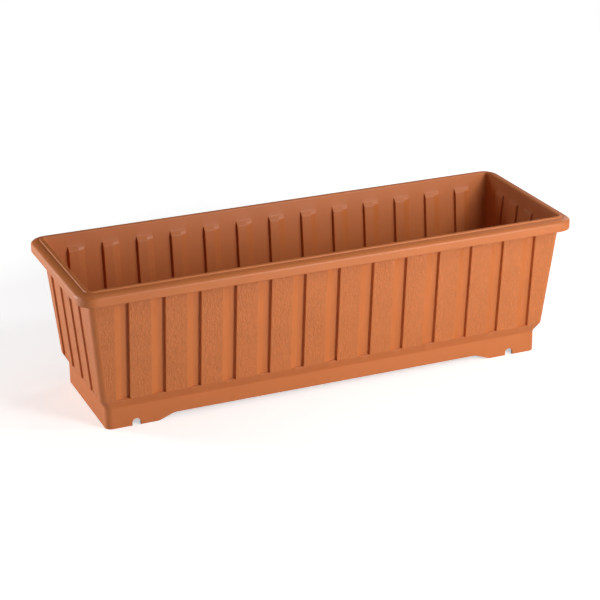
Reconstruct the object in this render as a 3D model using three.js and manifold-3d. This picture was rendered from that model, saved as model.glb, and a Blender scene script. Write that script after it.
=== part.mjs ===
// Window box planter: a long plastic trough moulded in one piece, with walls shaped like upright boards,
// a rolled rim with a raised bead, a plinth that stands on its corners, and push-in plugs that close the
// drain holes in its floor.
// Millimetres, +Z up, the front face looks towards -Y, and the origin is on the ground under the middle.
import * as THREE from 'three';
import * as BufferGeometryUtils from 'three/addons/utils/BufferGeometryUtils.js';
import Module from 'manifold-3d';

const wasm = await Module();
wasm.setup();

// ---- Driving dimensions ----

// Trough
const LENGTH = 600; // over the rim, along X
const WIDTH = 208; // over the rim, along Y
const HEIGHT = 175; // from the ground to the top of the bead
const WALL = 3; // moulded thickness of the walls, floor and plinth
const DRAFT_ANGLE = 5.3; // degrees that each wall leans out
const WALL_CORNER = 8; // outer radius of the upright corners

// Rim, from the outside in: a hanging skirt, a rounded shoulder, a groove and a bead over the wall
const RIM_CORNER = 20; // outer radius in plan
const RIM_REACH = 13.1; // from the wall's outer face to the rim's outer face, at the skirt's lower edge
const RIM_DROP = 15.2; // from the top of the bead to the skirt's lower edge
const RIM_FACE = 8.7; // height of the skirt's upright outer face
const RIM_SKIRT = 2.6; // thickness of the skirt
const RIM_FILLET = 1.2; // bevel between the skirt's back and the rim's underside
const BEAD_WIDTH = 5; // from the groove to the wall's inner face
const BEAD_HEIGHT = 1.7; // over the groove

// Boards
const JOINT_WIDTH = 16.3; // from one board's face across the joint to the next board's face
const JOINT_DEPTH = 5; // how far a joint on the front and back is sunk into the wall
const END_JOINT_DEPTH = 2.2; // how far a joint on the ends is sunk into the wall
const JOINT_RAMP = 9.4; // width of the ramp from a board down to a joint's floor, over JOINT_DEPTH
const JOINT_FLANK = 0.5; // lean of the steep flank that rises to the next board, over JOINT_DEPTH
const LEDGE_FALL = 7; // how far a joint's top end slopes down, over JOINT_DEPTH
const JOINT_RUNOUT = 4; // height over which a joint runs out below the boards' lower edge
const BOARD_HEAD = 159; // height where the joints end at the top, just above the skirt's lower edge
const BOARD_FOOT = 37; // height of the boards' lower edge
const LONG_PITCH = 41.4; // board spacing along the front and back
const LONG_SHIFT = 6.1; // offset of the front and back patterns from the middle, along their own run
const LEFT_SHIFT = 12.4; // offset of the left end's pattern from the middle, towards the back
const RIGHT_SHIFT = 6.8; // offset of the right end's pattern from the middle, towards the back
const END_PITCH = 35.4; // board spacing across the ends
const LONG_CORNER_BOARD = 32; // least width of the corner boards on the front and back
const LEFT_CORNER_BOARD = 30; // least width of the corner boards on the left end
const RIGHT_CORNER_BOARD = 50; // least width of the corner boards on the right end

// Plinth and feet
const PLINTH_HEIGHT = 25.5;
const PLINTH_SETBACK = 6.4; // from the boards' lower edge in to the plinth's face
const PLINTH_CORNER = 8; // outer radius
const SKIRT_GAP = 7; // clearance under the front and back between the feet
const FOOT_LENGTH = 59; // from the plinth's end to where the foot starts to rise
const FOOT_SWEEP = 23; // length of the rise from the foot to the raised edge
const NOTCH_OFFSET = 35; // from the plinth's end to the middle of the drain notch
const NOTCH_WIDTH = 10;
const NOTCH_HEIGHT = 8.2;
const NOTCH_ROOF = 0.8; // from the notch's crown to the floor's underside

// Drain holes and their plugs
const DRAIN_DIAMETER = 12;
const DRAIN_PITCH = 130; // along X
const DRAIN_ROW_SPACING = 84; // along Y
const DRAIN_END_MARGIN = 60; // least distance from the floor's end to a hole's middle
const PLUG_CLEARANCE = 0.3; // around the stem and under the flange
const PLUG_TAPER = 0.5; // how much slimmer the stem's tip is, on the radius
const PLUG_BELOW = 3; // how far the stem reaches under the floor
const PLUG_BORE = 4; // radius of the hollow in the stem
const FLANGE_DIAMETER = 20;
const FLANGE_THICKNESS = 1.8;
const GRIP_WIDTH = 11; // finger grip on the flange
const GRIP_HEIGHT = 5.5;
const GRIP_THICKNESS = 2.4;

// Fineness of the rounded forms
const CORNER_STEPS = 6;
const SHOULDER_STEPS = 4;
const BEAD_STEPS = 6;
const PLUG_STEPS = 28;
const CURVE_STEPS = 8;

const CREASE_ANGLE = Math.PI / 6; // edges sharper than this stay crisp

const PLASTIC = { color: 0xc4703f, roughness: 0.55, metalness: 0 };

// ---- Derived places ----

const lean = Math.tan(THREE.MathUtils.degToRad(DRAFT_ANGLE));
const rimBottom = HEIGHT - RIM_DROP;
const groove = HEIGHT - BEAD_HEIGHT; // height of the groove's bottom
const rimUnderside = groove - RIM_SKIRT; // between the skirt and the wall
const floorBottom = Math.max(NOTCH_HEIGHT, SKIRT_GAP) + NOTCH_ROOF;
const floorTop = floorBottom + WALL;

// Distances are measured inwards from the rim's outer face.
const wallInset = (z) => RIM_REACH + (rimBottom - z) * lean;
const bevelSlope = PLINTH_SETBACK / (BOARD_FOOT - PLINTH_HEIGHT);
const bevelInset = (z) => wallInset(BOARD_FOOT) + bevelSlope * (BOARD_FOOT - z);
const plinthInset = bevelInset(PLINTH_HEIGHT);
const bevelDrop = WALL * lean; // how much lower the edges of the bevel lie on the inside
const plinthHalfLength = LENGTH / 2 - plinthInset;

// ---- Solids ----

function toManifold(geometry) {
  const bare = geometry.clone();
  bare.deleteAttribute('normal');
  bare.deleteAttribute('uv');
  const merged = BufferGeometryUtils.mergeVertices(bare, 1e-5);
  const vertProperties = new Float32Array(merged.attributes.position.array);
  const triVerts = new Uint32Array(merged.index.array);
  return new wasm.Manifold(new wasm.Mesh({ numProp: 3, vertProperties, triVerts }));
}

function toGeometry(solid) {
  const mesh = solid.getMesh();
  const geometry = new THREE.BufferGeometry();
  geometry.setAttribute('position', new THREE.BufferAttribute(mesh.vertProperties, 3));
  geometry.setIndex(new THREE.BufferAttribute(mesh.triVerts, 1));
  return BufferGeometryUtils.toCreasedNormals(geometry, CREASE_ANGLE);
}

// A closed skin over rings with equal numbers of points, capped over the first and the last ring.
function loft(rings) {
  const flat = (level) => level.map((p) => new THREE.Vector2(p.x, p.y));
  const turned = THREE.ShapeUtils.isClockWise(flat(rings[0]));
  const ordered = turned ? rings.map((level) => [...level].reverse()) : rings;
  const count = ordered[0].length;
  const last = (ordered.length - 1) * count;
  const positions = ordered.flat().flatMap((p) => [p.x, p.y, p.z]);
  const index = [];
  for (let row = 0; row < ordered.length - 1; row++) {
    for (let i = 0; i < count; i++) {
      const a = row * count + i;
      const b = row * count + ((i + 1) % count);
      index.push(a, b, b + count, a, b + count, a + count);
    }
  }
  for (const [a, b, c] of THREE.ShapeUtils.triangulateShape(flat(ordered[0]), [])) {
    index.push(a, c, b);
  }
  for (const [a, b, c] of THREE.ShapeUtils.triangulateShape(flat(ordered.at(-1)), [])) {
    index.push(last + a, last + b, last + c);
  }
  const geometry = new THREE.BufferGeometry();
  geometry.setAttribute('position', new THREE.Float32BufferAttribute(positions, 3));
  geometry.setIndex(index);
  return toManifold(geometry);
}

// A rounded rectangle at height z, inset from the rim's outer face.
function ring(inset, z, radius) {
  const points = [];
  const cornerX = LENGTH / 2 - inset - radius;
  const cornerY = WIDTH / 2 - inset - radius;
  const corners = [[1, -1], [1, 1], [-1, 1], [-1, -1]];
  corners.forEach(([sx, sy], quarter) => {
    for (let step = 0; step <= CORNER_STEPS; step++) {
      const angle = (quarter - 1 + step / CORNER_STEPS) * (Math.PI / 2);
      const x = sx * cornerX + radius * Math.cos(angle);
      const y = sy * cornerY + radius * Math.sin(angle);
      points.push(new THREE.Vector3(x, y, z));
    }
  });
  return points;
}

function unite(solids) {
  return solids.reduce((sum, solid) => sum.add(solid));
}

// ---- Trough ----

// The plain trough, without joints and feet: up the outside, through the hollow under the rim, over the
// bead and down the inside to the floor.
function plainTrough() {
  const innerCorner = WALL_CORNER - WALL;
  const skirtCorner = RIM_CORNER - RIM_SKIRT;
  const rings = [
    ring(plinthInset, 0, PLINTH_CORNER),
    ring(plinthInset, PLINTH_HEIGHT, PLINTH_CORNER),
    ring(wallInset(BOARD_FOOT), BOARD_FOOT, WALL_CORNER),
    ring(wallInset(rimUnderside), rimUnderside, WALL_CORNER),
    ring(RIM_SKIRT + RIM_FILLET, rimUnderside, skirtCorner - RIM_FILLET),
    ring(RIM_SKIRT, rimUnderside - RIM_FILLET, skirtCorner),
    ring(RIM_SKIRT, rimBottom, skirtCorner),
    ring(0, rimBottom, RIM_CORNER),
  ];
  const lip = wallInset(groove) + WALL;
  const shoulderWidth = lip - BEAD_WIDTH;
  const faceTop = rimBottom + RIM_FACE;
  for (let step = 0; step <= SHOULDER_STEPS; step++) {
    const angle = (step / SHOULDER_STEPS) * (Math.PI / 2);
    const inset = shoulderWidth * (1 - Math.cos(angle));
    rings.push(ring(inset, faceTop + (groove - faceTop) * Math.sin(angle), RIM_CORNER - inset));
  }
  const grooveCorner = RIM_CORNER - shoulderWidth;
  for (let step = 1; step <= BEAD_STEPS; step++) {
    const angle = (step / BEAD_STEPS) * Math.PI;
    const across = (1 - Math.cos(angle)) / 2;
    const corner = THREE.MathUtils.lerp(grooveCorner, innerCorner, across);
    rings.push(ring(shoulderWidth + BEAD_WIDTH * across, groove + BEAD_HEIGHT * Math.sin(angle), corner));
  }
  rings.push(
    ring(wallInset(BOARD_FOOT) + WALL, BOARD_FOOT - bevelDrop, innerCorner),
    ring(plinthInset + WALL, PLINTH_HEIGHT - bevelDrop, PLINTH_CORNER - WALL),
    ring(plinthInset + WALL, floorTop, PLINTH_CORNER - WALL),
  );
  return loft(rings);
}

// The four walls in the order in which they follow each other round the trough, seen from above: the
// front, the right end, the back and the left end. The joints on the ends face the other way round.
function wallSides() {
  const long = {
    reach: WIDTH / 2,
    half: LENGTH / 2,
    pitch: LONG_PITCH,
    shift: LONG_SHIFT,
    corner: LONG_CORNER_BOARD,
    depth: JOINT_DEPTH,
    facing: 1,
  };
  const end = {
    reach: LENGTH / 2,
    half: WIDTH / 2,
    pitch: END_PITCH,
    depth: END_JOINT_DEPTH,
    facing: -1,
  };
  const right = { ...end, shift: RIGHT_SHIFT, corner: RIGHT_CORNER_BOARD };
  const left = { ...end, shift: -LEFT_SHIFT, corner: LEFT_CORNER_BOARD };
  return [long, right, long, left].map((side, turn) => ({ ...side, turn }));
}

// As many joints as fit between the corner boards, spaced evenly about the shifted middle.
function jointPlaces(side) {
  const span = 2 * (side.half - RIM_REACH - side.corner);
  const count = Math.floor(span / side.pitch) + 1;
  return Array.from({ length: count }, (_, i) => side.shift + (i - (count - 1) / 2) * side.pitch);
}

// A point on a side: along its run, out from a face that lies inset from the rim, at height z.
function onSide(side, along, inset, out, z) {
  const depth = side.reach - inset + out;
  const point = new THREE.Vector3(along, -depth, z);
  return point.applyAxisAngle(new THREE.Vector3(0, 0, 1), (side.turn * Math.PI) / 2);
}

// A joint in plan as [along, out] points: the top of its ramp, both ends of its floor and the top of its
// flank. The floor lies at a depth below the wall's face, the sides open up to a given distance out, and
// everything is moved into the wall by an offset.
function jointOutline(side, depth, offset, open) {
  const ramp = JOINT_RAMP / JOINT_DEPTH;
  const flank = JOINT_FLANK / JOINT_DEPTH;
  const floorStart = -JOINT_WIDTH + ramp * side.depth - offset * (Math.hypot(1, ramp) - ramp);
  const floorEnd = -flank * side.depth + offset * (Math.hypot(1, flank) - flank);
  const reach = side.depth + offset + open;
  const outline = [
    [floorStart - ramp * reach, open],
    [floorStart, -depth - offset],
    [floorEnd, -depth - offset],
    [floorEnd + flank * reach, open],
  ];
  return outline.map(([along, out]) => [side.facing * along, out]);
}

// The form of a joint, which runs out onto the bevel over the plinth at a height and has a sloping top
// end. Without an offset it is the groove outside. Moved in by the wall's thickness it is the rib that
// stands behind the groove, so the wall keeps its thickness.
function jointForm(side, place, offset, open, runoutZ) {
  const slope = LEDGE_FALL / JOINT_DEPTH;
  const rise = offset * Math.hypot(1, slope);
  const sunk = jointOutline(side, side.depth, offset, open);
  const flush = jointOutline(side, 0, offset, open);
  const footZ = BOARD_FOOT - offset * lean;
  const endZ = runoutZ - offset * lean;
  return loft([
    flush.map(([along, out]) => onSide(side, place + along, bevelInset(runoutZ), out, endZ)),
    sunk.map(([along, out]) => onSide(side, place + along, wallInset(footZ), out, footZ)),
    sunk.map(([along, out]) => {
      const z = BOARD_HEAD + slope * out + rise;
      return onSide(side, place + along, wallInset(z), out, z);
    }),
  ]);
}

// The cut-outs of the plinth in the XZ plane: the raised middle with its two sweeps, and two notches.
function footCutouts() {
  const rise = plinthHalfLength - FOOT_LENGTH;
  const raised = rise - FOOT_SWEEP;
  const ease = FOOT_SWEEP / 4;
  const middle = new THREE.Shape();
  middle.moveTo(-rise, -WALL);
  middle.lineTo(rise, -WALL);
  middle.lineTo(rise, 0);
  middle.bezierCurveTo(rise - ease, 0, raised + ease, SKIRT_GAP, raised, SKIRT_GAP);
  middle.lineTo(-raised, SKIRT_GAP);
  middle.bezierCurveTo(-raised - ease, SKIRT_GAP, -rise + ease, 0, -rise, 0);
  const notches = [-1, 1].map((end) => {
    const x = end * (plinthHalfLength - NOTCH_OFFSET);
    const radius = NOTCH_WIDTH / 2;
    const notch = new THREE.Shape();
    notch.moveTo(x + radius, -WALL);
    notch.lineTo(x + radius, NOTCH_HEIGHT - radius);
    notch.absarc(x, NOTCH_HEIGHT - radius, radius, 0, Math.PI, false);
    notch.lineTo(x - radius, -WALL);
    return notch;
  });
  const through = { depth: WIDTH, bevelEnabled: false, curveSegments: CURVE_STEPS };
  const cuts = [middle, ...notches].map((shape) => {
    const cut = new THREE.ExtrudeGeometry(shape, through);
    cut.rotateX(Math.PI / 2);
    cut.translate(0, WIDTH / 2, 0);
    return toManifold(cut);
  });
  return unite(cuts);
}

// The hollow under the floor, open to the ground.
function underfloor() {
  const corner = PLINTH_CORNER - WALL;
  return loft([ring(plinthInset + WALL, -WALL, corner), ring(plinthInset + WALL, floorBottom, corner)]);
}

// The middles of the drain holes: two rows, as many as fit along the floor.
function drainPlaces() {
  const span = 2 * (plinthHalfLength - WALL - DRAIN_END_MARGIN);
  const columns = Math.floor(span / DRAIN_PITCH) + 1;
  const rows = [['front', -DRAIN_ROW_SPACING / 2], ['back', DRAIN_ROW_SPACING / 2]];
  return rows.flatMap(([row, y]) => {
    return Array.from({ length: columns }, (_, i) => {
      const x = (i - (columns - 1) / 2) * DRAIN_PITCH;
      return { name: `drain_plug_${row}_${i + 1}`, x, y };
    });
  });
}

function drainHoles() {
  const depth = WALL * 3;
  const holes = drainPlaces().map(({ x, y }) => {
    const hole = new THREE.CylinderGeometry(DRAIN_DIAMETER / 2, DRAIN_DIAMETER / 2, depth, PLUG_STEPS);
    hole.rotateX(Math.PI / 2);
    hole.translate(x, y, (floorBottom + floorTop) / 2);
    return toManifold(hole);
  });
  return unite(holes);
}

function trough() {
  const joints = wallSides().flatMap((side) => jointPlaces(side).map((place) => [side, place]));
  const grooveEnd = BOARD_FOOT - JOINT_RUNOUT;
  const ribs = joints.map(([side, place]) => jointForm(side, place, WALL, -WALL / 2, PLINTH_HEIGHT));
  const grooves = joints.map(([side, place]) => jointForm(side, place, 0, WALL, grooveEnd));
  const shell = plainTrough().add(unite(ribs)).subtract(unite(grooves));
  return shell.subtract(underfloor()).subtract(footCutouts()).subtract(drainHoles());
}

// ---- Drain plug ----

// Its origin is in the plane of the floor's top, on the hole's axis.
function drainPlug() {
  const stem = DRAIN_DIAMETER / 2 - PLUG_CLEARANCE;
  const seat = PLUG_CLEARANCE;
  const top = seat + FLANGE_THICKNESS;
  const tip = -WALL - PLUG_BELOW;
  const edge = FLANGE_THICKNESS / 3;
  const profile = [
    [0, seat],
    [PLUG_BORE, seat],
    [PLUG_BORE, tip],
    [stem - PLUG_TAPER, tip],
    [stem, seat],
    [FLANGE_DIAMETER / 2, seat],
    [FLANGE_DIAMETER / 2, top - edge],
    [FLANGE_DIAMETER / 2 - edge, top],
    [0, top],
  ];
  const body = new THREE.LatheGeometry(profile.map(([r, z]) => new THREE.Vector2(r, z)), PLUG_STEPS);
  body.rotateX(Math.PI / 2);
  const grip = new THREE.Shape();
  const round = GRIP_WIDTH / 4;
  grip.moveTo(-GRIP_WIDTH / 2, -edge);
  grip.lineTo(GRIP_WIDTH / 2, -edge);
  grip.lineTo(GRIP_WIDTH / 2, GRIP_HEIGHT - round);
  grip.absarc(GRIP_WIDTH / 2 - round, GRIP_HEIGHT - round, round, 0, Math.PI / 2, false);
  grip.absarc(-GRIP_WIDTH / 2 + round, GRIP_HEIGHT - round, round, Math.PI / 2, Math.PI, false);
  const thick = { depth: GRIP_THICKNESS, bevelEnabled: false, curveSegments: CURVE_STEPS / 2 };
  const tab = new THREE.ExtrudeGeometry(grip, thick);
  tab.rotateX(Math.PI / 2);
  tab.translate(0, GRIP_THICKNESS / 2, top);
  return toManifold(body).add(toManifold(tab));
}

// ---- Assembly ----

function piece(name, geometry) {
  const mesh = new THREE.Mesh(geometry, new THREE.MeshStandardMaterial(PLASTIC));
  mesh.name = name;
  return mesh;
}

const planter = new THREE.Group();
planter.add(piece('trough', toGeometry(trough())));
const plugGeometry = toGeometry(drainPlug());
for (const { name, x, y } of drainPlaces()) {
  const plug = piece(name, plugGeometry);
  plug.position.set(x, y, floorTop);
  planter.add(plug);
}

export default planter;
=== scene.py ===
import math

import bmesh
import bpy
import numpy as np
from mathutils import Matrix, Vector
from mathutils.geometry import tessellate_polygon


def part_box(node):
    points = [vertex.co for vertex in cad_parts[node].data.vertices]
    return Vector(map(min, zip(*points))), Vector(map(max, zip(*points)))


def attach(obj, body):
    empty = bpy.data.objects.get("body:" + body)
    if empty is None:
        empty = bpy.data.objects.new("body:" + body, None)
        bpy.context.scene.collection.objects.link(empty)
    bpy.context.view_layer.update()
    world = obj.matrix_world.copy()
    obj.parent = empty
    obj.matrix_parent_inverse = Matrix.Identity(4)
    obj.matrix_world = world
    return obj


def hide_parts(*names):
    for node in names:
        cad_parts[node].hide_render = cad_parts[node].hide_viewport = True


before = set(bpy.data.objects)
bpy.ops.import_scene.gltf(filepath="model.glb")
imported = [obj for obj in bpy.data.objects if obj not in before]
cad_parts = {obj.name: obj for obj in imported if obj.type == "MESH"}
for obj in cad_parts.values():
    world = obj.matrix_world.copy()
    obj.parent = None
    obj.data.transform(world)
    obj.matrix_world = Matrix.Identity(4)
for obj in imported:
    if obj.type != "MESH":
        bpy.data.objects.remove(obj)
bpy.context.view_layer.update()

# ---- Camera ----
# Stands at the photograph's viewpoint: in front, to the left and a little above, with a long lens.
# The optical centre lies a few pixels off the picture's middle, and the camera leans half a degree.

camera_azimuth = math.radians(-23.0)
camera_elevation = math.radians(22.35)
camera_roll = math.radians(-0.48)
camera_distance = 2.199
camera_target = Vector((0.0, 0.0, 0.080))

camera_data = bpy.data.cameras.new("camera")
camera_data.sensor_width = 36.0
camera_data.lens = 112.7
camera_data.shift_x = -0.0076
camera_data.shift_y = 0.0041
camera = bpy.data.objects.new("camera", camera_data)
bpy.context.scene.collection.objects.link(camera)
bpy.context.scene.camera = camera

towards_camera = Vector((
    math.sin(camera_azimuth) * math.cos(camera_elevation),
    -math.cos(camera_azimuth) * math.cos(camera_elevation),
    math.sin(camera_elevation),
))
level_right = Vector((math.cos(camera_azimuth), math.sin(camera_azimuth), 0.0))
level_up = towards_camera.cross(level_right)
rolled_right = level_right * math.cos(camera_roll) + level_up * math.sin(camera_roll)
rolled_up = level_up * math.cos(camera_roll) - level_right * math.sin(camera_roll)
turned = Matrix((rolled_right, rolled_up, towards_camera)).transposed()
camera.matrix_world = Matrix.Translation(camera_target + towards_camera * camera_distance) @ turned.to_4x4()

# ---- Trough ----
# The box itself: one injection moulding in terracotta-coloured plastic, 3 mm thick all over. Its walls
# are shaped like upright boards with a sunk joint between each two, and its rim is rolled over into a
# hanging skirt with a bead on top. The boards have a moulded grain; everything else is smooth.

trough_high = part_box("trough")[1]
half_length = trough_high.x
half_width = trough_high.y
trough_height = trough_high.z

wall = 0.003  # moulded thickness of the walls, floor and plinth
lean = math.tan(math.radians(5.3))  # how far a wall leans out over its height
wall_corner = 0.0075  # outer radius of the upright corners
board_foot = 0.037  # height of the boards' lower edge
board_head = 0.159  # height where the joints end at the top

rim_reach = 0.0131  # from the wall's outer face to the skirt's
rim_corner = 0.020  # outer radius in plan
rim_bottom = trough_height - 0.0152  # the skirt's lower edge
rim_face_top = rim_bottom + 0.0087  # where the shoulder starts
groove_z = trough_height - 0.0017  # the groove beside the bead
bead_width = 0.005
skirt = 0.0026  # thickness of the rim
skirt_cuts = [0.0012, 0.0004, 0.0014]  # rounding of its inner, back and front corner
rim_underside = groove_z - skirt

joint_width = 0.0163  # from one board's face across the joint to the next board's
joint_depth = 0.0042  # on the front and back
end_joint_depth = 0.0022
ramp_slope = 0.0094 / 0.005  # width over depth of the ramp from a board down to a joint's floor
flank_slope = 0.0005 / 0.005  # the same of the steep flank up to the next board
ledge_slope = 0.007 / 0.005  # fall over depth of a joint's top end
joint_runout = 0.0008  # height over which a joint runs out below the boards
least_ramp = 0.0012  # width of the ramp where the joint has run out
ramp_crease = 0.0001  # width of the step at the ramp's upper edge
groove_edge = 0.0001  # depth of that step outside
rib_edge = 0.0015  # and on the ribs inside
joint_margin = 0.003  # length of board from which a joint's corners are rounded
groove_cuts = [0.0004, 0.0002, 0.0008, 0.0004, 0.0008]  # rounding of a joint's five corners outside
rib_cuts = [0.0004, 0.0003, 0.0008, 0.0005, 0.0008]  # and inside
joint_steps = [2, 2, 3, 2, 3]

long_pitch = 0.0414
long_joints = 13
long_shift = 0.0061  # from the middle to the pattern's middle, along the side
end_pitch = 0.0354
left_joints = 4
left_shift = 0.0124
right_joints = 3
right_shift = 0.0068

plinth_top = 0.0255
plinth_setback = 0.0064  # from the boards' lower edge in to the plinth's face
plinth_cut = 0.0016  # rounding between the plinth and the bevel, on both sides
foot_cut = 0.0007  # between the bevel and the boards, outside
inner_foot_cut = 0.0016  # and inside
floor_cut = 0.002  # between the wall and the floor
plinth_edge = 0.0006  # rounding of the lower edge outside
plinth_back_edge = 0.0004  # and inside
plinth_seam = (0.012, plinth_top - 0.006)  # the plinth's last level and the wall's first
skirt_gap = 0.007  # clearance under the long sides between the feet
foot_length = 0.059
foot_sweep = 0.023  # length of the rise from a foot to the raised edge
sweep_handle = 0.25  # how soon the rise leaves the level, as a share of its length
notch_offset = 0.035  # from the plinth's end to the notch's middle
notch_radius = 0.005
notch_height = 0.0082
notch_step = 0.00002  # keeps the notch's foot and the edge beside it apart
sweep_steps = 8
notch_steps = 12
floor_bottom = 0.009
floor_top = floor_bottom + wall

drain_radius = 0.006
drain_steps = 32
drain_columns = [(column - 1.5) * 0.130 for column in range(4)]
drain_rows = {"front": -0.042, "back": 0.042}


def wall_inset(z):
    """How far the wall's outer face lies in from the rim's, at a height."""
    return rim_reach + (rim_bottom - z) * lean


def bevel_inset(z):
    """The same for the bevel between the boards' lower edge and the plinth."""
    return wall_inset(board_foot) + plinth_setback * (board_foot - z) / (board_foot - plinth_top)


plinth_inset = bevel_inset(plinth_top)
groove_inset = wall_inset(groove_z) + wall - bead_width


def rounded(points, cuts, steps):
    """A polyline with each inner corner cut back and rounded: the same number of points for any cuts."""
    most = 0.45  # of a segment may be cut at each end
    result = [points[0]]
    for before, corner, after, cut, count in zip(points, points[1:], points[2:], cuts, steps):
        if count == 0:
            result.append(corner)
            continue
        start, middle, end = Vector(before), Vector(corner), Vector(after)
        back = min(cut, most * (start - middle).length)
        ahead = min(cut, most * (end - middle).length)
        first = middle + (start - middle).normalized() * back
        final = middle + (end - middle).normalized() * ahead
        for step in range(count + 1):
            u = step / count
            point = first * (1 - u) ** 2 + middle * 2 * u * (1 - u) + final * u ** 2
            result.append(tuple(point))
    result.append(points[-1])
    return result


def joint_profile(full_depth, sink, offset):
    """[along, out] of a joint's rounded outline, moved into the wall by an offset.
    sink is 1 where the joint has its full depth and 0 where it has run out onto the bevel."""
    outside = offset == 0
    depth = full_depth * sink
    floor_start = -joint_width + ramp_slope * full_depth - offset * (math.hypot(1, ramp_slope) - ramp_slope)
    floor_end = -flank_slope * full_depth + offset * (math.hypot(1, flank_slope) - flank_slope)
    ramp_start = floor_start - max(ramp_slope * depth, least_ramp)
    flank_end = floor_end + flank_slope * full_depth
    edge = (groove_edge if outside else rib_edge) * sink * full_depth / joint_depth
    points = [
        (ramp_start - joint_margin, -offset),
        (ramp_start, -offset),
        (ramp_start + ramp_crease, -offset - edge),
        (floor_start, -depth - offset),
        (floor_end, -depth - offset),
        (flank_end, -offset),
        (flank_end + joint_margin, -offset),
    ]
    return np.array(rounded(points, groove_cuts if outside else rib_cuts, joint_steps)[1:-1])


def joint_places(pitch, shift, count):
    return shift + (np.arange(count) - (count - 1) / 2) * pitch


# Front, right end, back and left end, as they follow each other round the box seen from above: half its
# length, its distance from the middle, the places of its joints, their depth and which way they face.
sides = [
    (half_length, half_width, joint_places(long_pitch, long_shift, long_joints), joint_depth, 1),
    (half_width, half_length, joint_places(end_pitch, right_shift, right_joints), end_joint_depth, -1),
    (half_length, half_width, joint_places(long_pitch, long_shift, long_joints), joint_depth, 1),
    (half_width, half_length, joint_places(end_pitch, -left_shift, left_joints), end_joint_depth, -1),
]
side_turns = [(1, 0), (0, 1), (-1, 0), (0, -1)]  # cosine and sine of each side's turn from the front
arc_steps = 10
arc_angles = np.linspace(-math.pi / 2, 0, arc_steps + 1)


def ring(inset, radius, straights):
    """One level of the box: for each side its straight part, given as [along, out, z], and its corner."""
    parts = []
    for (half, reach, *_), (cosine, sine), straight in zip(sides, side_turns, straights):
        limit = half - inset - radius
        along = np.clip(straight[:, 0], -limit, limit)
        level = np.stack([along, -(reach - inset + straight[:, 1]), straight[:, 2]], axis=1)
        corner = np.stack([
            limit + radius * np.cos(arc_angles),
            -(reach - inset - radius) + radius * np.sin(arc_angles),
            np.full(arc_steps + 1, straight[-1, 2]),
        ], axis=1)
        x, y, z = np.vstack([level, corner]).T
        parts.append(np.stack([x * cosine - y * sine, x * sine + y * cosine, z], axis=1))
    return np.vstack(parts)


def wall_row(inset, z, radius, offset, relief):
    """A level with the board pattern in it. The grooves outside run out just below the boards, and the
    ribs behind them run down to the plinth."""
    run_end = board_foot - joint_runout if offset == 0 else plinth_top
    sink = min(1.0, max(0.0, (z + offset * lean - run_end) / (board_foot - run_end)))
    ledge = (z - board_head - offset * math.hypot(1, ledge_slope)) / ledge_slope
    straights = []
    for _, _, places, depth, facing in sides:
        profile = joint_profile(depth, sink, offset)
        out = np.minimum(np.maximum(profile[:, 1], ledge) + offset, 0) if relief else profile[:, 1] * 0
        shape = np.stack([profile[:, 0] * facing, out], axis=1)[::facing]
        along = (places[:, None] + shape[None, :, 0]).ravel()
        outward = np.tile(shape[:, 1], len(places))
        straights.append(np.stack([along, outward, np.full(len(along), z)], axis=1))
    return ring(inset, radius, straights)


def foot_lift():
    """[along, height] of the plinth's lower edge on a long side, from its middle to its end."""
    plinth_half = half_length - plinth_inset
    raised = plinth_half - foot_length - foot_sweep
    points = []
    for w in np.linspace(0, 1, sweep_steps + 1):
        share = (
            3 * sweep_handle * w * (1 - w) ** 2
            + 3 * (1 - sweep_handle) * w ** 2 * (1 - w)
            + w ** 3
        )
        points.append((raised + foot_sweep * share, skirt_gap * (1 - 3 * w ** 2 + 2 * w ** 3)))
    centre = plinth_half - notch_offset
    shoulder = notch_height - notch_radius
    points.append((centre - notch_radius - notch_step, 0.0))
    for angle in np.linspace(math.pi, 0, notch_steps + 1):
        points.append((centre + notch_radius * math.cos(angle), shoulder + notch_radius * math.sin(angle)))
    points.append((centre + notch_radius + notch_step, 0.0))
    return np.array(points)


def plinth_row(inset, rise=0.0, level=None):
    """A level of the plinth. It follows the feet's lower edge at a height above it, or lies at a level."""
    half_edge = foot_lift()
    edge = np.vstack([half_edge[::-1] * [-1, 1], half_edge])
    z = edge[:, 1] + rise if level is None else np.full(len(edge), level)
    long_side = np.stack([edge[:, 0], np.zeros(len(edge)), z], axis=1)
    end_point = 0.02  # two points are enough for an end's straight edge
    end_side = np.array([[-end_point, 0, z[-1]], [end_point, 0, z[-1]]])
    radius = wall_corner - (inset - plinth_inset)
    return ring(inset, radius, [long_side, end_side, long_side, end_side])


def plinth_levels():
    """The plinth's levels, from the floor's underside down its back, round its lower edge and up its face."""
    back = plinth_inset + wall
    return [
        plinth_row(back, level=floor_bottom),
        plinth_row(back, rise=plinth_back_edge),
        plinth_row(back - plinth_back_edge),
        plinth_row(plinth_inset + plinth_edge),
        plinth_row(plinth_inset + plinth_edge / 3, rise=plinth_edge / 3),
        plinth_row(plinth_inset, rise=plinth_edge),
        plinth_row(plinth_inset, level=plinth_seam[0]),
    ]


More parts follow.
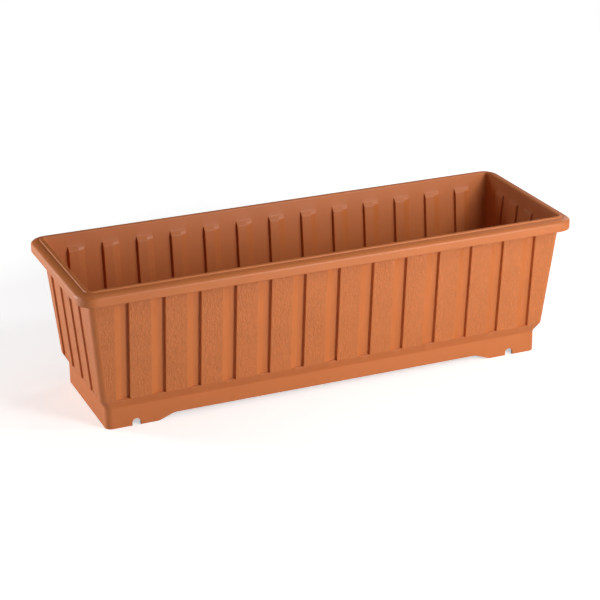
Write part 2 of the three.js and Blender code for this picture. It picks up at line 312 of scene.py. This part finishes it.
def wall_section():
    """[inset, z, corner radius, offset, relief] of each level, from the plinth up over the rim and down
    the inside to the floor."""
    foot = wall_inset(board_foot)
    fall = ledge_slope * joint_depth
    outer_ledges = 4  # levels that shape the sloping top ends of the grooves
    ledge_levels = [board_head - fall * k / outer_ledges for k in range(outer_ledges, -1, -1)]
    runout_z = board_foot - joint_runout
    outer = [(plinth_inset, plinth_seam[1]), (plinth_inset, plinth_top)]
    outer += [(bevel_inset(runout_z), runout_z), (foot, board_foot)]
    outer += [(wall_inset(z), z) for z in ledge_levels]
    outer += [(wall_inset(rim_underside), rim_underside)]
    outer_cuts = [plinth_cut, 0, foot_cut] + [0] * len(ledge_levels)
    outer_steps = [4, 0, 3] + [0] * len(ledge_levels)
    rows = [(inset, z, wall_corner, 0.0, True) for inset, z in rounded(outer, outer_cuts, outer_steps)]

    beside_wall = 0.001
    skirt_back = [
        (wall_inset(rim_underside) - beside_wall, rim_underside),
        (skirt, rim_underside),
        (skirt, rim_bottom),
        (0.0, rim_bottom),
        (0.0, rim_face_top),
    ]
    for inset, z in rounded(skirt_back, skirt_cuts, [3, 2, 4]):
        rows.append((inset, z, rim_corner - inset, 0.0, False))

    shoulder_steps = 9
    for angle in np.linspace(0, math.pi / 2, shoulder_steps + 1)[1:]:
        inset = groove_inset * (1 - math.cos(angle))
        z = rim_face_top + (groove_z - rim_face_top) * math.sin(angle)
        rows.append((inset, z, rim_corner - inset, 0.0, False))

    bead_steps = 14
    bead_fullness = 0.8  # 1 is a round bead, and less is fuller
    inner_corner = wall_corner - wall
    for angle in np.linspace(0, math.pi, bead_steps + 1)[1:]:
        across = (1 - math.cos(angle)) / 2
        corner = (rim_corner - groove_inset) * (1 - across) + inner_corner * across
        z = groove_z + (trough_height - groove_z) * math.sin(angle) ** bead_fullness
        rows.append((groove_inset + bead_width * across, z, corner, wall * across, False))

    ledge_rise = wall * (math.hypot(1, ledge_slope) - ledge_slope)
    inner_ledges = 6  # the same for the ribs
    ledge_levels = [board_head + ledge_rise - fall * k / inner_ledges for k in range(inner_ledges + 1)]
    drop = wall * lean
    inner_start = groove_z - 0.002
    floor_margin = 0.004  # the last level lies on the floor, this far from the wall
    least_corner = 0.0005
    inner = [(wall_inset(inner_start) + wall, inner_start)]
    inner += [(wall_inset(z) + wall, z) for z in ledge_levels]
    inner += [
        (foot + wall, board_foot - drop),
        (plinth_inset + wall, plinth_top - drop),
        (plinth_inset + wall, floor_top),
        (plinth_inset + wall + floor_margin, floor_top),
    ]
    inner_cuts = [0] * len(ledge_levels) + [inner_foot_cut, plinth_cut, floor_cut]
    inner_steps = [0] * len(ledge_levels) + [3, 3, 4]
    for inset, z in rounded(inner, inner_cuts, inner_steps):
        corner = max(inner_corner - max(0.0, inset - plinth_inset - wall), least_corner)
        rows.append((inset, z, corner, wall, True))
    return rows


def strip(first_row, second_row, count):
    """Quads between two closed rows of points."""
    this = np.arange(count)
    following = (this + 1) % count
    quads = [first_row + this, first_row + following, second_row + following, second_row + this]
    return np.stack(quads, axis=1).tolist()


def stacked(rows, first_index):
    """Quads between all the closed rows of a stack."""
    count = len(rows[0])
    faces = []
    for start in range(first_index, first_index + (len(rows) - 1) * count, count):
        faces += strip(start, start + count, count)
    return faces


def stitched(lower, upper):
    """Triangles between two runs of points with unlike spacing, each given as [(along, index)]."""
    triangles = []
    i = j = 0
    while i < len(lower) - 1 or j < len(upper) - 1:
        step_lower = j == len(upper) - 1 or (i < len(lower) - 1 and lower[i + 1][0] <= upper[j + 1][0])
        if step_lower:
            triangles.append([lower[i][1], lower[i + 1][1], upper[j][1]])
            i += 1
        else:
            triangles.append([lower[i][1], upper[j + 1][1], upper[j][1]])
            j += 1
    return triangles


def straight_runs(points, first_index, counts):
    """For each side, [(along, index)] from the end of the corner before to the start of the corner after."""
    runs = []
    start = 0
    for count, (cosine, sine) in zip(counts, side_turns):
        indices = [(start - 1) % len(points)] + list(range(start, start + count + 1))
        runs.append([(points[k][0] * cosine + points[k][1] * sine, first_index + k) for k in indices])
        start += count + arc_steps + 1
    return runs


def drain_circles():
    """The edges of the drain holes: for each hole, the one on the floor and then the one under it."""
    angles = np.linspace(0, 2 * math.pi, drain_steps + 1)[:-1]
    circles = []
    for y in drain_rows.values():
        for x in drain_columns:
            for z in (floor_top, floor_bottom):
                around = [x + drain_radius * np.cos(angles), y + drain_radius * np.sin(angles)]
                circles.append(np.stack([*around, np.full(drain_steps, z)], axis=1))
    return circles


def pierced_face(points, edge, circle_starts, faces_up):
    """Triangles of the floor's top or underside, between its outer edge and the drain holes."""
    loops = [edge] + [range(start, start + drain_steps) for start in circle_starts]
    indices = [index for loop in loops for index in loop]
    triangles = []
    for corners in tessellate_polygon([[Vector(points[k]) for k in loop] for loop in loops]):
        a, b, c = [indices[k] for k in corners]
        upward = np.cross(points[b] - points[a], points[c] - points[a])[2] > 0
        triangles.append([a, b, c] if upward == faces_up else [c, b, a])
    return triangles


def board_mask(section, per_joint, first_index, count):
    """For each point 1 on the outer faces of the boards, and 0 in the joints and everywhere else."""
    beside_joint = np.zeros(per_joint)
    beside_joint[[0, -1]] = 1
    beside_corner = np.zeros(arc_steps + 1)
    beside_corner[[0, -1]] = 1
    row_mask = np.concatenate([
        part
        for _, _, places, *_ in sides
        for part in (np.tile(beside_joint, len(places)), beside_corner)
    ])
    lowest = board_foot - 0.0002
    highest = board_head + 0.002
    mask = np.zeros(count, dtype=np.float32)
    for row, (_, z, _, offset, relief) in enumerate(section):
        if relief and offset == 0 and lowest <= z <= highest:
            first = first_index + row * len(row_mask)
            mask[first:first + len(row_mask)] = row_mask
    return mask


def build_trough():
    plinth_rows = plinth_levels()
    plinth_count = len(plinth_rows[0])
    faces = stacked(plinth_rows, 0)

    base = plinth_count * len(plinth_rows)
    section = wall_section()
    wall_rows = [wall_row(*level) for level in section]
    wall_count = len(wall_rows[0])
    faces += stacked(wall_rows, base)

    per_joint = len(joint_profile(joint_depth, 1.0, 0.0))
    edge_count = 2 * len(foot_lift())
    lower = straight_runs(plinth_rows[-1], base - plinth_count, [edge_count, 2, edge_count, 2])
    upper = straight_runs(wall_rows[0], base, [len(places) * per_joint for _, _, places, *_ in sides])
    for low_run, high_run in zip(lower, upper):
        faces += stitched(low_run, high_run)
        low_arc = low_run[-1][1]
        high_arc = high_run[-1][1]
        for k in range(arc_steps):
            faces.append([low_arc + k, low_arc + k + 1, high_arc + k + 1, high_arc + k])

    drain_base = base + wall_count * len(wall_rows)
    circles = drain_circles()
    points = np.vstack(plinth_rows + wall_rows + circles)
    on_floor = range(drain_base, len(points), 2 * drain_steps)
    under_floor = range(drain_base + drain_steps, len(points), 2 * drain_steps)
    for above, below in zip(on_floor, under_floor):
        faces += [face[::-1] for face in strip(below, above, drain_steps)]
    flat_from = len(faces)
    faces += pierced_face(points, range(drain_base - wall_count, drain_base), on_floor, True)
    faces += pierced_face(points, range(plinth_count), under_floor, False)

    mesh = bpy.data.meshes.new("trough_moulding")
    mesh.from_pydata(points.tolist(), [], faces)
    mesh.validate()
    mesh.update()
    grain = mesh.attributes.new("grain", "FLOAT", "POINT")
    grain.data.foreach_set("value", board_mask(section, per_joint, base, len(points)))
    mesh.shade_smooth()
    for face in mesh.polygons[flat_from:]:
        face.use_smooth = False
    return mesh


trough = bpy.data.objects.new("trough_moulding", build_trough())
bpy.context.scene.collection.objects.link(trough)
even_shading = trough.modifiers.new("even_shading", "WEIGHTED_NORMAL")
even_shading.weight = 100
even_shading.keep_sharp = True

# The grain: upright streaks and creases on the boards, broad mottling and a fine satin all over.
streak_stretch = 0.45  # under 1 draws the streaks out upwards
streak_bend = 0.4
streak_share = 1.5
crease_stretch = 0.6
crease_sharpness = 3.0
crease_middle = 0.6
crease_share = 0.5
noise_roughness = 0.6
mottling_scale = 28.0
mottling_tone = 0.7
satin_scale = 1400.0
board_roughness = -0.10
mottling_roughness = 0.10
satin_roughness = 0.08
satin_height = 0.06


def moulded_grain():
    """Node group: the moulded grain of the boards where Mask is 1 and fine satin everywhere else."""
    group = bpy.data.node_groups.new("moulded_grain", "ShaderNodeTree")
    interface = group.interface
    for name, value in (("Mask", 0.0), ("Cell Size", 0.004), ("Tone", 0.1), ("Roughness", 0.5)):
        socket = interface.new_socket(name, in_out="INPUT", socket_type="NodeSocketFloat")
        socket.default_value = value
    colour = interface.new_socket("Base Color", in_out="INPUT", socket_type="NodeSocketColor")
    colour.default_value = (0.5, 0.15, 0.05, 1)
    interface.new_socket("Color", in_out="OUTPUT", socket_type="NodeSocketColor")
    interface.new_socket("Roughness", in_out="OUTPUT", socket_type="NodeSocketFloat")
    interface.new_socket("Height", in_out="OUTPUT", socket_type="NodeSocketFloat")
    nodes = group.nodes
    link = group.links.new
    given = nodes.new("NodeGroupInput")
    result = nodes.new("NodeGroupOutput")

    def maths(operation, first, second, third=None):
        node = nodes.new("ShaderNodeMath")
        node.operation = operation
        for socket, value in zip(node.inputs, (first, second, third)):
            if isinstance(value, bpy.types.NodeSocket):
                link(value, socket)
            elif value is not None:
                socket.default_value = value
        return node.outputs[0]

    place = nodes.new("ShaderNodeTexCoord").outputs["Object"]
    per_cell = maths("DIVIDE", 1.0, given.outputs["Cell Size"])

    def stretched(height):
        mapping = nodes.new("ShaderNodeMapping")
        mapping.inputs["Scale"].default_value = (1.0, 1.0, height)
        link(place, mapping.inputs["Vector"])
        return mapping.outputs["Vector"]

    def noise(vector, scale, detail, distortion=0.0):
        node = nodes.new("ShaderNodeTexNoise")
        node.inputs["Detail"].default_value = detail
        node.inputs["Roughness"].default_value = noise_roughness
        node.inputs["Distortion"].default_value = distortion
        link(vector, node.inputs["Vector"])
        if isinstance(scale, bpy.types.NodeSocket):
            link(scale, node.inputs["Scale"])
        else:
            node.inputs["Scale"].default_value = scale
        return maths("SUBTRACT", node.outputs["Fac"], 0.5)

    streaks = noise(stretched(streak_stretch), per_cell, detail=3.0, distortion=streak_bend)
    creases = nodes.new("ShaderNodeTexVoronoi")
    creases.feature = "DISTANCE_TO_EDGE"
    link(stretched(crease_stretch), creases.inputs["Vector"])
    link(per_cell, creases.inputs["Scale"])
    crease_depth = maths("MINIMUM", maths("MULTIPLY", creases.outputs["Distance"], crease_sharpness), 1.0)
    mottling = noise(place, mottling_scale, detail=3.0)
    satin = noise(place, satin_scale, detail=2.0)

    creased = maths("SUBTRACT", crease_depth, crease_middle)
    grain = maths("MULTIPLY_ADD", creased, crease_share, maths("MULTIPLY", streaks, streak_share))
    boards = maths("MULTIPLY", grain, given.outputs["Mask"])
    tone = maths("MULTIPLY_ADD", boards, given.outputs["Tone"], 1.0)
    tone = maths("MULTIPLY_ADD", mottling, maths("MULTIPLY", given.outputs["Tone"], mottling_tone), tone)
    shade = nodes.new("ShaderNodeVectorMath")
    shade.operation = "SCALE"
    link(given.outputs["Base Color"], shade.inputs[0])
    link(tone, shade.inputs["Scale"])
    link(shade.outputs[0], result.inputs["Color"])
    uneven = maths("MULTIPLY_ADD", boards, board_roughness, given.outputs["Roughness"])
    uneven = maths("MULTIPLY_ADD", mottling, mottling_roughness, uneven)
    link(maths("MULTIPLY_ADD", satin, satin_roughness, uneven), result.inputs["Roughness"])
    link(maths("MULTIPLY_ADD", satin, satin_height, boards), result.inputs["Height"])
    return group


grain_group = moulded_grain()


def moulded_plastic(name, colour, roughness, cell, tone, relief):
    """A satin plastic whose boards, where the mesh has them marked, carry the grain of the mould."""
    material = bpy.data.materials.new(name)
    material.use_nodes = True
    nodes = material.node_tree.nodes
    link = material.node_tree.links.new
    shader = nodes["Principled BSDF"]
    shader.inputs["IOR"].default_value = 1.5
    shader.inputs["Specular IOR Level"].default_value = 0.6
    marked = nodes.new("ShaderNodeAttribute")
    marked.attribute_name = "grain"
    grain = nodes.new("ShaderNodeGroup")
    grain.node_tree = grain_group
    grain.inputs["Base Color"].default_value = colour
    grain.inputs["Roughness"].default_value = roughness
    grain.inputs["Cell Size"].default_value = cell
    grain.inputs["Tone"].default_value = tone
    link(marked.outputs["Fac"], grain.inputs["Mask"])
    bump = nodes.new("ShaderNodeBump")
    bump.inputs["Strength"].default_value = 1.0
    bump.inputs["Distance"].default_value = relief
    link(grain.outputs["Height"], bump.inputs["Height"])
    link(grain.outputs["Color"], shader.inputs["Base Color"])
    link(grain.outputs["Roughness"], shader.inputs["Roughness"])
    link(bump.outputs["Normal"], shader.inputs["Normal"])
    return material


trough.data.materials.append(moulded_plastic(
    "terracotta_plastic", colour=(0.58, 0.163, 0.036, 1), roughness=0.5, cell=0.0032, tone=0.20, relief=0.0005
))

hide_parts("trough")
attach(trough, "box")

# ---- Drain plugs ----
# Eight push-in plugs, each moulded in one piece in a slightly darker plastic: a hollow stem that goes
# through a drain hole, a round flange that lies on the floor, and an upright grip to pull it out by.

plug_clearance = 0.0003
stem_radius = drain_radius - plug_clearance
stem_taper = 0.0005
stem_end = -wall - 0.003
bore_radius = 0.004
flange_radius = 0.010
flange_top = plug_clearance + 0.0018
flange_edge = 0.0006
plug_cuts = [0.0004, 0.0003, 0.0004, 0.0003, 0.0002, flange_edge]  # from the bore's end to the flange's top
plug_steps = [2, 2, 3, 2, 2, 4]
plug_segments = 48

grip_width = 0.011
grip_height = 0.0055
grip_thickness = 0.0024
grip_corner = grip_width / 4
grip_edge = 0.0005
grip_corner_steps = 6
grip_edge_steps = 3


def skinned(shape, loops):
    """Faces between the loops and over both ends."""
    count = len(loops[0])
    for first, second in zip(loops, loops[1:]):
        for k in range(count):
            following = (k + 1) % count
            shape.faces.new((first[k], first[following], second[following], second[k]))
    shape.faces.new(list(reversed(loops[0])))
    shape.faces.new(loops[-1])


def stem_and_flange(shape):
    profile = rounded(
        [
            (0.0, plug_clearance),
            (bore_radius, plug_clearance),
            (bore_radius, stem_end),
            (stem_radius - stem_taper, stem_end),
            (stem_radius, plug_clearance),
            (flange_radius, plug_clearance),
            (flange_radius, flange_top),
            (0.0, flange_top),
        ],
        plug_cuts,
        plug_steps,
    )
    angles = np.linspace(0, 2 * math.pi, plug_segments + 1)[:-1]
    skinned(shape, [
        [shape.verts.new((radius * math.cos(a), radius * math.sin(a), z)) for a in angles]
        for radius, z in profile[1:-1]
    ])


def grip(shape):
    half = grip_width / 2
    flat = half - grip_corner
    level = flange_top + grip_height - grip_corner
    arc = np.linspace(0, math.pi / 2, grip_corner_steps + 1)
    outline = [(-half, flange_top - flange_edge), (half, flange_top - flange_edge)]
    outline += [(flat + grip_corner * math.cos(a), level + grip_corner * math.sin(a)) for a in arc]
    outline += [(-flat - grip_corner * math.sin(a), level + grip_corner * math.cos(a)) for a in arc]
    middle = flange_top + grip_height / 2
    slices = []
    for side in (-1, 1):
        for angle in np.linspace(0, math.pi / 2, grip_edge_steps + 1)[::-side]:
            y = side * (grip_thickness / 2 - grip_edge + grip_edge * math.cos(angle))
            inward = grip_edge * (1 - math.sin(angle))
            wide = 1 - inward / half
            tall = 1 - inward / (grip_height / 2)
            slices.append([shape.verts.new((x * wide, y, middle + (z - middle) * tall)) for x, z in outline])
    skinned(shape, slices)


def plug_mesh():
    shape = bmesh.new()
    stem_and_flange(shape)
    grip(shape)
    bmesh.ops.recalc_face_normals(shape, faces=shape.faces)
    mesh = bpy.data.meshes.new("drain_plug")
    shape.to_mesh(mesh)
    shape.free()
    mesh.shade_smooth()
    return mesh


plug_shape = plug_mesh()
plug_shape.materials.append(moulded_plastic(
    "plug_plastic", colour=(0.42, 0.105, 0.027, 1), roughness=0.55, cell=0.003, tone=0.16, relief=0.0005
))
for row, y in drain_rows.items():
    for number, x in enumerate(drain_columns, 1):
        name = f"drain_plug_{row}_{number}"
        own_shape = plug_shape.copy()
        own_shape.transform(Matrix.Translation((x, y, floor_top)))
        plug = bpy.data.objects.new(f"{name}_moulding", own_shape)
        bpy.context.scene.collection.objects.link(plug)
        plug_shading = plug.modifiers.new("even_shading", "WEIGHTED_NORMAL")
        plug_shading.weight = 100
        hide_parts(name)
        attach(plug, name)

# ---- Setting ----
# A white floor and plain soft lamps. The tall key stands in front, a little to the right and close, so that
# the box brightens from left to right; low cards on the left lift the end wall; the rest is weak fill.

floor_half = 1.2
floor_corners = [(-1, -1), (1, -1), (1, 1), (-1, 1)]
floor_mesh = bpy.data.meshes.new("studio_floor")
floor_mesh.from_pydata([(x * floor_half, y * floor_half, 0) for x, y in floor_corners], [], [(0, 1, 2, 3)])
studio_floor = bpy.data.objects.new("studio_floor", floor_mesh)
bpy.context.scene.collection.objects.link(studio_floor)
floor_material = bpy.data.materials.new("white_floor")
floor_material.use_nodes = True
floor_nodes = floor_material.node_tree.nodes
floor_shader = floor_nodes["Principled BSDF"]
floor_shader.inputs["Base Color"].default_value = (0.82, 0.82, 0.82, 1)
floor_shader.inputs["Roughness"].default_value = 0.9
floor_shader.inputs["Emission Color"].default_value = (1, 1, 1, 1)

# What the camera sees of the floor is lifted towards white, more so further from the box, where there is
# no shadow to keep. The lift lights nothing else.
floor_link = floor_material.node_tree.links.new
light_path = floor_nodes.new("ShaderNodeLightPath")
floor_place = floor_nodes.new("ShaderNodeTexCoord")
from_box = floor_nodes.new("ShaderNodeVectorMath")
from_box.operation = "LENGTH"
whiteness = floor_nodes.new("ShaderNodeMapRange")
whiteness.inputs["From Min"].default_value = 0.45
whiteness.inputs["From Max"].default_value = 1.0
whiteness.inputs["To Min"].default_value = 0.55
whiteness.inputs["To Max"].default_value = 0.85
lift = floor_nodes.new("ShaderNodeMath")
lift.operation = "MULTIPLY"
floor_link(floor_place.outputs["Object"], from_box.inputs[0])
floor_link(from_box.outputs["Value"], whiteness.inputs["Value"])
floor_link(light_path.outputs["Is Camera Ray"], lift.inputs[0])
floor_link(whiteness.outputs["Result"], lift.inputs[1])
floor_link(lift.outputs[0], floor_shader.inputs["Emission Strength"])
floor_mesh.materials.append(floor_material)


def soft_light(name, place, aim, width, height, power):
    """A rectangular lamp: places and sizes in metres, power in watts."""
    data = bpy.data.lights.new(name, "AREA")
    data.shape = "RECTANGLE"
    data.size = width
    data.size_y = height
    data.energy = power
    light = bpy.data.objects.new(name, data)
    light.location = place
    light.rotation_euler = (Vector(aim) - Vector(place)).to_track_quat("-Z", "Y").to_euler()
    bpy.context.scene.collection.objects.link(light)


soft_light("key_light", (0.50, -1.15, 0.52), (0.10, 0.0, 0.10), 0.35, 0.70, 12.5)
soft_light("high_right_light", (1.20, -1.00, 1.35), (0.10, 0.0, 0.10), 0.30, 0.30, 6.5)
soft_light("rear_right_light", (1.40, 0.80, 0.90), (0.0, 0.0, 0.10), 0.50, 0.40, 5.0)
soft_light("rear_left_light", (-1.30, 0.80, 0.60), (-0.30, 0.0, 0.10), 0.40, 0.40, 5.5)
soft_light("rear_left_card", (-1.30, 0.80, 0.12), (-0.30, 0.0, 0.08), 0.50, 0.20, 8.5)
soft_light("left_card", (-1.45, 0.10, 0.10), (-0.30, 0.0, 0.08), 0.50, 0.18, 3.0)
soft_light("top_light", (0.0, 0.0, 2.0), (0.0, 0.0, 0.10), 1.0, 1.0, 2.5)

# The surroundings are white to the camera and give only a faint light.
world = bpy.data.worlds.new("studio")
bpy.context.scene.world = world
world.use_nodes = True
world_nodes = world.node_tree.nodes
backdrop = world_nodes["Background"]
backdrop.inputs["Color"].default_value = (1, 1, 1, 1)
world_path = world_nodes.new("ShaderNodeLightPath")
backdrop_strength = world_nodes.new("ShaderNodeMapRange")
backdrop_strength.inputs["To Min"].default_value = 0.05
backdrop_strength.inputs["To Max"].default_value = 1.0
world.node_tree.links.new(world_path.outputs["Is Camera Ray"], backdrop_strength.inputs["Value"])
world.node_tree.links.new(backdrop_strength.outputs["Result"], backdrop.inputs["Strength"])
bpy.context.scene.view_settings.view_transform = "Standard"
